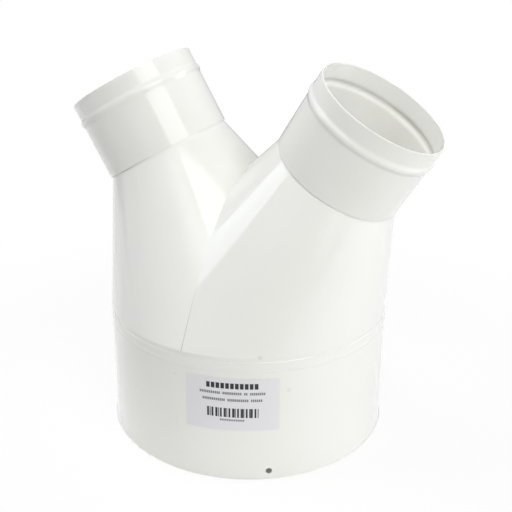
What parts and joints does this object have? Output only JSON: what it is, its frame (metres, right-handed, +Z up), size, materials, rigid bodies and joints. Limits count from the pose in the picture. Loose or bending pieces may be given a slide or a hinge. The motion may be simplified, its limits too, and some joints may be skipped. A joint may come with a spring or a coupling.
{
  "type": "duct y branch",
  "caption": "Sheet-steel duct Y branch: a wide round collar with mitred conical legs that lead to beaded hose spigots, coated glossy white.",
  "frame": {"origin": "centre of the collar's lower rim, on the surface that it stands on", "axes": "+Z up along the collar's axis, +X towards the right branch, so both branches lie in the XZ plane"},
  "size_m": [0.2738, 0.2044, 0.2705],
  "materials": {
    "white_coat": "glossy white powder coat on steel sheet"
  },
  "bodies": {
    "root": {"base_collar": "white_coat", "right_leg": "white_coat", "right_spigot": "white_coat", "left_leg": "white_coat", "left_spigot": "white_coat"}
  },
  "joints": []
}
